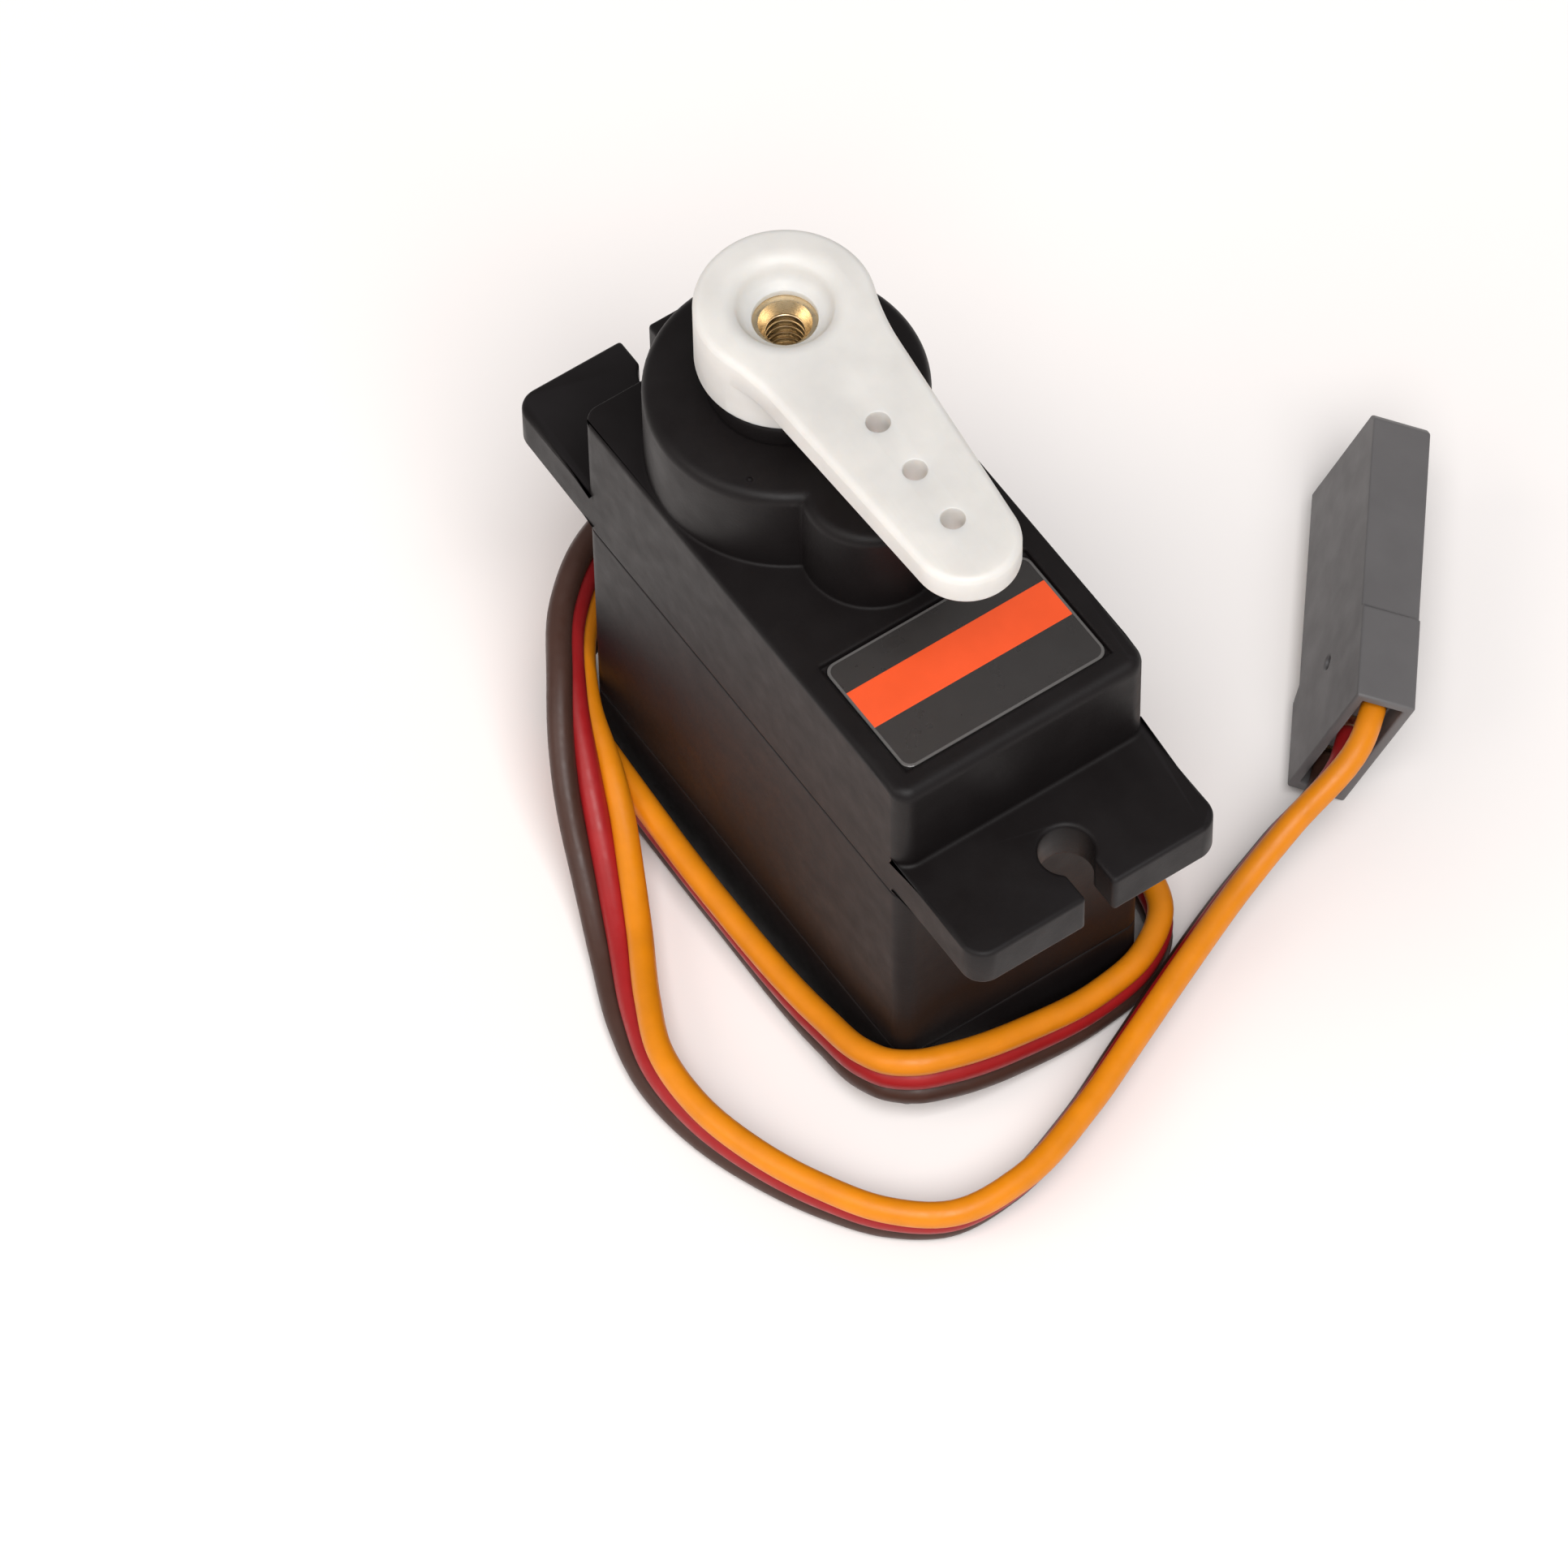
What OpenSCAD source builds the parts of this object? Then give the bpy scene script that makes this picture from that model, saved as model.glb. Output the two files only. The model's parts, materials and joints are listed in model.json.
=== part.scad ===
// Sub-micro servo motor: geared case with two mounting ears, single-arm horn and a three-wire lead.
// Frame: millimetres, +Z up the output shaft, +X towards the motor end,
// origin at the centre of the underside.

/* [Case] */
// Length of the case without its ears
case_l = 22.8; // [22.6:0.1:23.4]
// Width of the case
case_w = 12.0; // [11.9:0.1:12.6]
// Height of the bottom cover
cover_h = 4.0; // [3.8:0.1:4.4]
// Height of the seam between the middle case and the top case
seam_z = 15.7; // [15.5:0.1:15.8]
// Height of the flat top of the gearbox
block_z = 23.1; // [23.0:0.1:23.6]
// Height of the top of the raised bosses
boss_z = 27.7; // [27.5:0.1:28.2]
// Thickness of the case walls
wall = 1.0; // [0.9:0.05:1.05]
// Radius of the upright corners
corner_r = 0.8; // [0.6:0.1:1.0]

/* [Mounting ears] */
// How far each ear reaches out from the case
ear_reach = 5.2; // [5.0:0.1:5.6]
// Thickness of an ear
ear_t = 2.1; // [1.8:0.1:2.4]
// Height of the underside of the ears
ear_z = 16.0; // [15.9:0.1:16.3]
// Distance between the two screw holes
hole_pitch = 28.5; // [28.0:0.1:28.8]
// Radius of a screw hole
hole_r = 1.15; // [1.05:0.05:1.2]
// Width of the slot from the hole to the edge of the ear
slot_w = 1.35; // [1.2:0.05:1.4]

/* [Output shaft and horn] */
// Distance of the output shaft from the centre of the case
shaft_x = -5.3; // [-5.35:0.05:-5.2]
// Radius of the large boss around the shaft
boss_r = 5.8; // [5.7:0.05:5.9]
// Radius of the small boss over the idler pin
small_boss_r = 2.9; // [2.7:0.1:3.0]
// Height of the top of the shaft
shaft_top_z = 31.66; // [31.5:0.02:31.68]
// Height of the underside of the horn
horn_z = 29.4; // [29.3:0.1:29.6]
// Height of the horn's hub and arm top
horn_top_z = 33.1; // [33.0:0.1:33.6]
// Radius of the horn's hub
hub_r = 3.66; // [3.5:0.02:3.8]
// Thickness of the horn's arm
arm_t = 1.5; // [1.3:0.1:1.8]
// Distance of the arm's round end from the shaft
arm_end = 13.3; // [13.0:0.1:15.0]
// Angle of the arm at rest
horn_angle = -2.3; // [-8:0.1:8]

/* [Gears] */
// Gear module
gear_m = 0.3; // [0.3:0.01:0.3]
// Teeth of the large wheels
big_n = 30; // [30:1:30]
// Teeth of the small wheels
small_n = 10; // [10:1:10]
// Teeth of the first wheel, turned by the motor
first_n = 27; // [27:1:27]
// Teeth of the motor pinion
pinion_n = 9; // [9:1:9]

/* [Lead and plug] */
// Diameter of one wire
wire_d = 1.05; // [1.0:0.05:1.1]
// Length of the plug
plug_l = 14.5; // [13.5:0.1:14.6]
// Width of the plug
plug_w = 7.66; // [7.6:0.02:7.8]
// Thickness of the plug
plug_t = 2.6; // [2.5:0.05:2.7]

/* [Hidden] */

// ---- derived places -------------------------------------------------------------------------
half_l = case_l / 2;
half_w = case_w / 2;
inner_r = corner_r - 0.3;
idler_x = shaft_x + gear_m * (big_n + small_n) / 2;
motor_x = idler_x + gear_m * (first_n + pinion_n) / 2;
pin_r = 0.5;
journal_r = 0.9;
running = 0.05;

// gear layers, lowest first: motor pinion, then one layer for each wheel that it drives
face = 1.1;
layer1_z = 16.7;
layer2_z = 18.1;
layer3_z = 19.5;
layer4_z = 24.0;
last_face = 2.0;

// case inside
gear_floor_z = seam_z - 1.2;
motor_r = 4.1;
motor_z0 = 3.2;
motor_z1 = gear_floor_z - 0.1;
motor_flat = 3.6;
screw_x = half_l - 1.35;
screw_y = half_w - 1.35;
screw_r = 0.45;
screw_head_r = 0.85;
screw_top_z = 18.6;
pillar = 2.5;

// shaft
neck_r = 2.2;
spline_r = 2.3;
spline_n = 21;
tap_r = 0.8;
tap_depth = 4.0;
collar_r = 3.0;
collar_top_z = 28.9;

// horn
hole_steps = [6.9, 9.6, 12.35];
arm_hole_r = 0.5;
arm_root_x = 0.5;
arm_root_w = 3.15;
arm_tip_r = 2.2;
web_z0 = 31.7;
web_z1 = 32.0;
web_r = 1.33;
recess_r = 2.25;
socket_r = 2.4;

// label
label_x = 7.25;
label_l = 5.9;
label_w = 9.8;
label_depth = 0.3;
stripe_x = 6.8;
stripe_l = 2.0;

// lead
grommet_w = 2.4;
grommet_z0 = 1.2;
grommet_z1 = 5.6;
board_x0 = -9.6;
board_t = 0.8;
board_w = 6.8;
plug_angle = 141;
plug_lean = 21;
plug_z = plug_w / 2 * cos(plug_lean) + plug_t / 2 * sin(plug_lean);
plug_mouth = [9.48, 17.97, plug_z];
contact_pitch = 2.54;
mouth_depth = 1.1;
fan_l = 7;
step_l = 4.1;
step_h = 0.6;
latch_x = 3.9;

// Route of the middle (red) wire: x, y, z and the tilt of the ribbon, in degrees.
// At 90 the orange wire is straight above the red one, and below 90 it leans inwards.
ROUTE = [
    [-10.4, 0, 3.4, 90], [-11.9, 0, 3.4, 90], [-13.25, -0.36, 3.3, 90], [-14.24, -1.35, 3.15, 90],
    [-14.6, -2.7, 2.95, 90], [-14.38, -4.2, 2.7, 90], [-13.76, -5.53, 2.45, 90],
    [-12.8, -6.51, 2.25, 90], [-11.6, -6.98, 2.05, 91], [-9.4, -7.05, 1.9, 94], [-6.4, -7.08, 1.75, 98],
    [-0.4, -7.18, 1.66, 101], [7.4, -7.11, 2.05, 95], [10.05, -6.97, 2.75, 92],
    [11.22, -6.56, 3.15, 91], [12.05, -5.67, 3.3, 89], [12.45, -4.45, 3.15, 88], [12.7, -0.6, 2.2, 90],
    [12.57, 3, 1.66, 93], [12.08, 5.5, 1.63, 92], [10.75, 7.4, 1.64, 90], [8.4, 8.1, 1.66, 90],
    [-1.4, 8.1, 1.68, 60], [-8.8, 8.2, 1.9, 5], [-12.4, 7.3, 3.3, -38], [-14.6, 4.7, 4.9, -58],
    [-15.55, 1.6, 6, -68], [-15.75, -1, 6.35, -72], [-15, -3.45, 6.25, -71], [-13.35, -5.57, 5.85, -65],
    [-10.4, -7.52, 5.3, -56], [-7.5, -8.81, 4.15, -18], [-4.5, -10, 2.4, 22], [-1.35, -11.38, 1.4, 40],
    [1.95, -12.9, 1.46, 57], [4.55, -13.7, 1.6, 74], [7.7, -13.68, 1.63, 87], [10.9, -12.83, 1.63, 95],
    [13.8, -11.47, 1.61, 100], [15.95, -9.98, 1.59, 105], [17.5, -7.84, 1.56, 110],
    [17.65, -4.7, 1.56, 112], [16.45, -0.75, 1.57, 111], [14.78, 2.97, 1.65, 112], [13.17, 6.7, 2, 113],
    [11.8, 10.07, 2.3, 113], [10.85, 13.52, 3.2, 112], [9.93, 17.1, 4, 111], [8.84, 18.42, 4, 111]
];

// ---- small helpers --------------------------------------------------------------------------

// Plate with round upright corners, centred on the origin, from z0 to z1
module slab(l, w, r, z0, z1) {
    translate([0, 0, z0]) linear_extrude(z1 - z0) {
        square([l - 2 * r, w], center = true);
        square([l, w - 2 * r], center = true);
        for (x = [-1, 1], y = [-1, 1])
            translate([x * (l / 2 - r), y * (w / 2 - r)]) circle(r, $fn = 48);
    }
}

// Box from low to high corner
module block(low, high) {
    translate(low) cube(high - low);
}

// Upright cylinder at x, y between two heights
module post(x, y, r, z0, z1) {
    translate([x, y, z0]) cylinder(h = z1 - z0, r = r, $fn = 64);
}

// Runs its children at each of the four case screws
module at_screws() {
    for (x = [-1, 1], y = [-1, 1]) translate([x * screw_x, y * screw_y, 0]) children();
}

// Four solid pillars in the corners of the case, for the screws
module pillars(z0, z1) {
    intersection() {
        slab(case_l - wall, case_w - wall, inner_r, z0, z1);
        for (x = [-1, 1], y = [-1, 1])
            translate([x * half_l, y * half_w, (z0 + z1) / 2])
                cube([2 * pillar, 2 * pillar, z1 - z0], center = true);
    }
}

// Outline of a spur gear with straight-sided teeth, one tooth centred on the angle "phase"
function gear_points(n, phase) = [
    for (i = [0:n - 1]) each [
        for (k = [[-0.27, -1.25], [-0.10, 0.9], [0.10, 0.9], [0.27, -1.25]])
            let (r = gear_m * (n / 2 + k[1]), a = phase + (i + k[0]) * 360 / n) [r * cos(a), r * sin(a)]
    ]
];

module gear(n, phase, z0, z1) {
    translate([0, 0, z0]) linear_extrude(z1 - z0) polygon(gear_points(n, phase));
}

// Double gear: a wheel with "n" teeth and a small wheel above it, bored to run on a pin
module double_gear(n, phase, small_phase, wheel_z, small_z, small_h, bore_r) {
    difference() {
        union() {
            gear(n, phase, wheel_z, wheel_z + face);
            gear(small_n, small_phase, small_z, small_z + small_h);
            post(0, 0, gear_m * (small_n / 2 - 1.25), wheel_z + face / 2, small_z + small_h / 2);
        }
        post(0, 0, bore_r, wheel_z - 1, small_z + small_h + 1);
    }
}

// ---- case -----------------------------------------------------------------------------------

// Two bosses on the gearbox roof: round, with softly rounded top rims
module boss_shape(r, z0, z1, soft) {
    translate([0, 0, z0]) rotate_extrude($fn = 96) {
        square([r - soft, z1 - z0]);
        square([r, z1 - z0 - soft]);
        translate([r - soft, z1 - z0 - soft]) circle(soft, $fn = 32);
    }
}

module ear_slots() {
    for (side = [-1, 1]) {
        post(side * hole_pitch / 2, 0, hole_r, ear_z - 1, ear_z + ear_t + 1);
        translate([side * (hole_pitch / 2 + ear_reach / 2), 0, ear_z + ear_t / 2])
            cube([ear_reach, slot_w, ear_t + 2], center = true);
    }
}

module gearbox_hollow() {
    difference() {
        slab(case_l - 2 * wall, case_w - 2 * wall, inner_r, seam_z - 1, block_z - wall);
        pillars(seam_z - 2, screw_top_z + 0.6);
    }
    post(shaft_x, 0, boss_r - 0.85, block_z - wall - 1, boss_z - wall);
    post(idler_x, 0, small_boss_r - 0.75, block_z - wall - 1, boss_z - wall);
}

module top_case() {
    color("#2b2a2d") difference() {
        union() {
            slab(case_l, case_w, corner_r, seam_z, block_z);
            slab(case_l + 2 * ear_reach, case_w, 1.0, ear_z, ear_z + ear_t);
            translate([shaft_x, 0, 0]) boss_shape(boss_r, block_z - 0.5, boss_z, 0.5);
            translate([idler_x, 0, 0]) boss_shape(small_boss_r, block_z - 0.5, boss_z, 0.5);
        }
        gearbox_hollow();
        ear_slots();
        post(shaft_x, 0, collar_r, boss_z - wall - 1, boss_z + 1);
        at_screws() post(0, 0, screw_r + running, seam_z - 1, screw_top_z + 0.2);
        block([label_x - label_l / 2 - 0.1, -label_w / 2 - 0.1, block_z - label_depth],
              [label_x + label_l / 2 + 0.1, label_w / 2 + 0.1, block_z + 1]);
        post(idler_x, 0, pin_r, boss_z - wall - 1, boss_z - 0.4);
    }
}

module middle_case() {
    color("#242326") difference() {
        slab(case_l, case_w, corner_r, cover_h, seam_z - 0.02);
        difference() {
            slab(case_l - 2 * wall, case_w - 2 * wall, inner_r, cover_h - 1, gear_floor_z);
            pillars(cover_h - 2, gear_floor_z + 1);
        }
        post(motor_x, 0, motor_r + running, cover_h - 1, gear_floor_z);
        post(motor_x, 0, 1.3, gear_floor_z - 1, seam_z + 1);
        post(shaft_x, 0, journal_r + 0.5, gear_floor_z - 1, seam_z + 1);
        post(idler_x, 0, pin_r, gear_floor_z - 1, seam_z + 1);
        at_screws() post(0, 0, screw_r + running, cover_h - 1, seam_z + 1);
        block([-half_l - 1, -grommet_w / 2, cover_h - 1], [-half_l + wall + 0.5, grommet_w / 2, grommet_z1]);
    }
}

module bottom_cover() {
    color("#242326") difference() {
        slab(case_l, case_w, corner_r, 0, cover_h - 0.02);
        difference() {
            slab(case_l - 2 * wall, case_w - 2 * wall, inner_r, wall, cover_h + 1);
            pillars(0, cover_h + 2);
        }
        post(motor_x, 0, motor_r + running, motor_z0 - 0.3, cover_h + 1);
        at_screws() {
            post(0, 0, screw_r + running, -1, cover_h + 1);
            post(0, 0, screw_head_r + 0.1, -1, 1.0);
        }
        block([-half_l - 1, -grommet_w / 2, grommet_z0], [-half_l + wall + 0.5, grommet_w / 2, cover_h + 1]);
    }
}

module case_screws() {
    color("#b9bcc0") at_screws() difference() {
        union() {
            post(0, 0, screw_r, 0.5, screw_top_z);
            post(0, 0, screw_head_r, 0.3, 1.0);
        }
        for (a = [0, 90]) rotate([0, 0, a]) cube([1.0, 0.22, 1.0], center = true);
    }
}

module label_plate() {
    color("#3a3a3d") difference() {
        translate([label_x, 0, 0])
            slab(label_l, label_w, 0.5, block_z - label_depth, block_z - 0.1);
        block([stripe_x - stripe_l / 2, -label_w / 2 + 0.3, block_z - 0.18],
              [stripe_x + stripe_l / 2, label_w / 2 - 0.3, block_z]);
    }
}

module label_stripe() {
    color("#f0592a")
        block([stripe_x - stripe_l / 2, -label_w / 2 + 0.3, block_z - 0.18],
              [stripe_x + stripe_l / 2, label_w / 2 - 0.3, block_z - 0.08]);
}

// ---- bearings and pins ----------------------------------------------------------------------

module shaft_collar() {
    color("#1f1f21") translate([shaft_x, 0, 0]) difference() {
        union() {
            post(0, 0, collar_r, boss_z - wall, boss_z);
            post(0, 0, collar_r + 0.25, boss_z, collar_top_z);
        }
        post(0, 0, neck_r + running, boss_z - wall - 1, collar_top_z + 1);
    }
}

module lower_bearing() {
    color("#c9a24b") translate([shaft_x, 0, 0]) difference() {
        post(0, 0, journal_r + 0.5, gear_floor_z, seam_z);
        post(0, 0, journal_r + running, gear_floor_z - 1, seam_z + 1);
    }
}

module idler_pin() {
    color("#d5d7da") post(idler_x, 0, pin_r, gear_floor_z, boss_z - 0.5);
}

// ---- motor and electronics ------------------------------------------------------------------

module motor_can() {
    color("#c4c7cb") translate([motor_x, 0, 0]) difference() {
        intersection() {
            union() {
                post(0, 0, motor_r, motor_z0 + 1.2, motor_z1 - 0.4);
                post(0, 0, motor_r - 0.3, motor_z1 - 0.5, motor_z1);
                post(0, 0, 1.2, motor_z1 - 0.1, seam_z - 0.2);
            }
            block([-motor_flat - 1, -motor_flat, 0], [motor_flat + 1, motor_flat, 30]);
        }
        post(0, 0, 0.6, -1, seam_z + 1);
        post(0, 0, motor_r - 1.3, 0, motor_z1 - 1.2);
    }
}

module motor_end_cap() {
    color("#e8e6df") translate([motor_x, 0, 0]) difference() {
        intersection() {
            post(0, 0, motor_r, motor_z0, motor_z0 + 1.2);
            block([-motor_flat - 1, -motor_flat, 0], [motor_flat + 1, motor_flat, 30]);
        }
        post(0, 0, 0.6, motor_z0 + 0.4, motor_z0 + 2);
    }
}

module potentiometer_body() {
    color("#3f6fb0") translate([shaft_x, 0, 0]) difference() {
        union() {
            post(0, 0, 3.4, 9.2, 12.4);
            block([-2.6, -4.2, 9.2], [2.6, 0, 10.6]);
        }
        post(0, 0, 2.5, 10.0, 13);
    }
}

module control_board() {
    color("#1f6b3a")
        block([board_x0, -board_w / 2, 1.4], [board_x0 + board_t, board_w / 2, 8.2]);
}

module board_chips() {
    color("#1a1a1a") {
        block([board_x0 + board_t, -1.9, 3.0], [board_x0 + board_t + 1.0, 1.9, 6.8]);
        block([board_x0 + board_t, 2.1, 3.4], [board_x0 + board_t + 0.7, 3.2, 5.0]);
        block([board_x0 + board_t, -3.2, 4.4], [board_x0 + board_t + 0.7, -2.1, 6.0]);
    }
}

// ---- gear train -----------------------------------------------------------------------------

module output_gear() {
    color("#c9a24b") translate([shaft_x, 0, 0]) difference() {
        gear(big_n, 0, layer4_z, layer4_z + last_face);
        post(0, 0, 1.6, layer4_z - 1, layer4_z + last_face + 1);
    }
}

// Splined head that the horn sits on
module spline_head(z0, z1) {
    translate([0, 0, z0]) linear_extrude(z1 - z0) polygon([
        for (i = [0:2 * spline_n - 1])
            let (r = i % 2 == 0 ? spline_r : spline_r - 0.2, a = i * 180 / spline_n) [r * cos(a), r * sin(a)]
    ]);
}

module output_shaft() {
    color("#c9a24b") translate([shaft_x, 0, 0]) difference() {
        union() {
            post(0, 0, journal_r, 11.4, layer4_z);
            post(0, 0, 1.6, layer4_z - 0.8, layer4_z + last_face);
            post(0, 0, neck_r, layer4_z + last_face, horn_z - 0.2);
            spline_head(horn_z - 0.2, shaft_top_z);
        }
        post(0, 0, tap_r, shaft_top_z - tap_depth, shaft_top_z + 1);
        translate([0, 0, shaft_top_z - 0.5])
            cylinder(h = 0.6, r1 = tap_r - 0.01, r2 = tap_r + 0.35, $fn = 64);
    }
}

module pot_wiper() {
    color("#d9b45a") translate([shaft_x, 0, 0]) difference() {
        union() {
            post(0, 0, 1.5, 11.0, 12.2);
            block([0, -0.4, 11.0], [2.2, 0.4, 11.4]);
        }
        post(0, 0, journal_r, 11.4, 13);
    }
}

module first_gear() {
    color("#f2efe6") translate([idler_x, 0, 0])
        double_gear(first_n, 0, 180 + 180 / small_n, layer1_z, layer2_z, face, pin_r + running);
}

module second_gear() {
    color("#f2efe6") translate([shaft_x, 0, 0])
        double_gear(big_n, 0, 180 / small_n, layer2_z, layer3_z, face, journal_r + running);
}

module third_gear() {
    color("#f2efe6") translate([idler_x, 0, 0])
        double_gear(big_n, 180, 180 + 180 / small_n, layer3_z, layer4_z, last_face, pin_r + running);
}

module motor_pinion() {
    color("#f2efe6") translate([motor_x, 0, 0]) difference() {
        gear(pinion_n, 180 + 180 / pinion_n, layer1_z - 0.3, layer1_z + face + 0.2);
        post(0, 0, pin_r, layer1_z - 1, layer1_z + face + 1);
    }
}

module motor_shaft() {
    color("#d5d7da") post(motor_x, 0, pin_r, motor_z0 + 0.5, layer1_z + face + 0.2);
}

// ---- horn -----------------------------------------------------------------------------------

// Outline of the arm: wide at the hub, with a round end
module arm_outline() {
    hull() {
        translate([arm_root_x, 0]) square([0.01, 2 * arm_root_w], center = true);
        translate([arm_end, 0]) circle(arm_tip_r, $fn = 48);
    }
}

module servo_horn() {
    color("#f4f4f2") translate([shaft_x, 0, 0]) rotate([0, 0, horn_angle]) difference() {
        union() {
            post(0, 0, hub_r, horn_z, horn_top_z);
            translate([0, 0, horn_top_z - arm_t]) linear_extrude(arm_t) arm_outline();
        }
        post(0, 0, socket_r, horn_z - 1, web_z0);
        post(0, 0, web_r, web_z0 - 1, web_z1 + 1);
        translate([0, 0, web_z1])
            cylinder(h = horn_top_z - web_z1 + 0.001, r1 = web_r, r2 = recess_r, $fn = 96);
        for (x = hole_steps) post(x, 0, arm_hole_r, horn_top_z - arm_t - 1, horn_top_z + 1);
    }
}

// ---- lead -----------------------------------------------------------------------------------

function dist(i) = norm([for (k = [0:2]) ROUTE[i + 1][k] - ROUTE[i][k]]);

last = len(ROUTE) - 1;

// Slope of the route at point i, weighted by the lengths on either side
function slope(i) =
    i == 0 ? (ROUTE[1] - ROUTE[0]) / dist(0) :
    i == last ? (ROUTE[last] - ROUTE[last - 1]) / dist(last - 1) :
    ((ROUTE[i] - ROUTE[i - 1]) * dist(i) / dist(i - 1) + (ROUTE[i + 1] - ROUTE[i]) * dist(i - 1) / dist(i))
        / (dist(i - 1) + dist(i));

// Point of the smooth curve between route points i and i + 1, with t from 0 to 1
function on_route(i, t) =
    (2 * t ^ 3 - 3 * t ^ 2 + 1) * ROUTE[i] + (t ^ 3 - 2 * t ^ 2 + t) * dist(i) * slope(i)
    + (3 * t ^ 2 - 2 * t ^ 3) * ROUTE[i + 1] + (t ^ 3 - t ^ 2) * dist(i) * slope(i + 1);

STATIONS = [for (i = [0:last - 1]) each [on_route(i, 0), on_route(i, 0.5)], ROUTE[last]];
ends = len(STATIONS) - 1;

function xyz(p) = [p[0], p[1], p[2]];
function unit(v) = v / norm(v);
function heading(path, i) = unit(path[min(i + 1, len(path) - 1)] - path[max(i - 1, 0)]);

RED_LINE = [for (p = STATIONS) xyz(p)];

// Length of the route that is left after station i
function left_over(i) = i >= ends ? 0 : norm(RED_LINE[i + 1] - RED_LINE[i]) + left_over(i + 1);

// Distance between neighbouring wires: a diameter, spreading to the contacts near the plug
function pitch_at(i) =
    let (f = max(0, 1 - left_over(i) / fan_l)) wire_d + (contact_pitch - wire_d) * f * f * (3 - 2 * f);

// Direction across the ribbon, from the red wire to the orange one
function across(i) =
    let (h = heading(RED_LINE, i), flat = unit([-h[1], h[0], 0]), tilt = STATIONS[i][3])
    cos(tilt) * flat + [0, 0, sin(tilt)];

function wire_line(side) = [for (i = [0:ends]) RED_LINE[i] + side * pitch_at(i) * across(i)];

// Tube with eight sides along a path
module tube(path, r) {
    sides = 8;
    n = len(path);
    rings = [
        for (i = [0:n - 1])
            let (h = heading(path, i), u = unit(cross([0, 0, 1], h)), v = cross(h, u))
            for (k = [0:sides - 1]) path[i] + r * (cos(k * 360 / sides) * u + sin(k * 360 / sides) * v)
    ];
    skin = [
        for (i = [0:n - 2], k = [0:sides - 1])
            let (a = i * sides + k, b = i * sides + (k + 1) % sides) each
            [[a, a + sides, b], [b, a + sides, b + sides]]
    ];
    caps = [[for (k = [0:sides - 1]) k], [for (k = [sides - 1:-1:0]) (n - 1) * sides + k]];
    polyhedron(points = rings, faces = concat(skin, caps));
}

wire_tube_r = wire_d / 2 - 0.02;

module wire_brown() {
    color("#5a4038") tube(wire_line(-1), wire_tube_r);
}

module wire_red() {
    color("#b8323a") tube(wire_line(0), wire_tube_r);
}

module wire_orange() {
    color("#f2a531") tube(wire_line(1), wire_tube_r);
}

module cable_grommet() {
    color("#1b1b1c") difference() {
        union() {
            block([-half_l - 0.3, -grommet_w / 2 + 0.02, grommet_z0 + 0.02],
                  [-half_l + wall, grommet_w / 2 - 0.02, grommet_z1 - 0.02]);
        }
        block([-half_l - 1, -wire_d / 2 - 0.06, 3.4 - 1.5 * wire_d - 0.06],
              [-half_l + wall + 1, wire_d / 2 + 0.06, 3.4 + 1.5 * wire_d + 0.06]);
    }
}

// Stands its children at the plug: x from the wire end to the far end, z across the three contacts
module at_plug() {
    translate(plug_mouth) rotate([0, 0, plug_angle]) rotate([plug_lean, 0, 0]) children();
}

// Outline of the plug: a wider wire end, with a slanted step down to the narrow part
module plug_outline() {
    polygon([
        [0, -plug_w / 2], [step_l, -plug_w / 2], [step_l + step_h, -plug_w / 2 + step_h],
        [plug_l, -plug_w / 2 + step_h], [plug_l, plug_w / 2 - 0.5], [plug_l - 0.4, plug_w / 2 - 0.15],
        [step_l + 0.5, plug_w / 2 - 0.15], [step_l + 0.4, plug_w / 2], [0, plug_w / 2]
    ]);
}

module plug_housing() {
    color("#2d2d30") at_plug() difference() {
        translate([0, plug_t / 2, 0]) rotate([90, 0, 0]) linear_extrude(plug_t) plug_outline();
        block([-1, -0.88, -3.4], [mouth_depth, 0.88, 3.4]);
        for (k = [-1:1]) {
            block([mouth_depth - 0.5, -0.7, k * contact_pitch - 0.7],
                  [plug_l - 0.8, 0.7, k * contact_pitch + 0.7]);
            block([plug_l - 1, -0.45, k * contact_pitch - 0.45],
                  [plug_l + 1, 0.45, k * contact_pitch + 0.45]);
        }
        translate([latch_x, 0, 0]) rotate([-90, 0, 0]) cylinder(h = plug_t, r = 0.3, $fn = 32);
    }
}

module plug_sockets() {
    color("#d9b45a") at_plug() for (k = [-1:1]) difference() {
        block([mouth_depth, -0.68, k * contact_pitch - 0.68],
              [plug_l - 0.82, 0.68, k * contact_pitch + 0.68]);
        block([plug_l - 7, -0.4, k * contact_pitch - 0.4], [plug_l, 0.4, k * contact_pitch + 0.4]);
    }
}

top_case();
middle_case();
bottom_cover();
case_screws();
label_plate();
label_stripe();
shaft_collar();
lower_bearing();
idler_pin();
motor_can();
motor_end_cap();
potentiometer_body();
control_board();
board_chips();
cable_grommet();
wire_brown();
wire_red();
wire_orange();
plug_housing();
plug_sockets();
output_gear();
output_shaft();
pot_wiper();
servo_horn();
first_gear();
second_gear();
third_gear();
motor_pinion();
motor_shaft();
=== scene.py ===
"""Looks of the sub-micro servo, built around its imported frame. Lengths are in metres."""

import json
import math

import bmesh
import bpy
from mathutils import Matrix, Vector
from mathutils.geometry import tessellate_polygon


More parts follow.
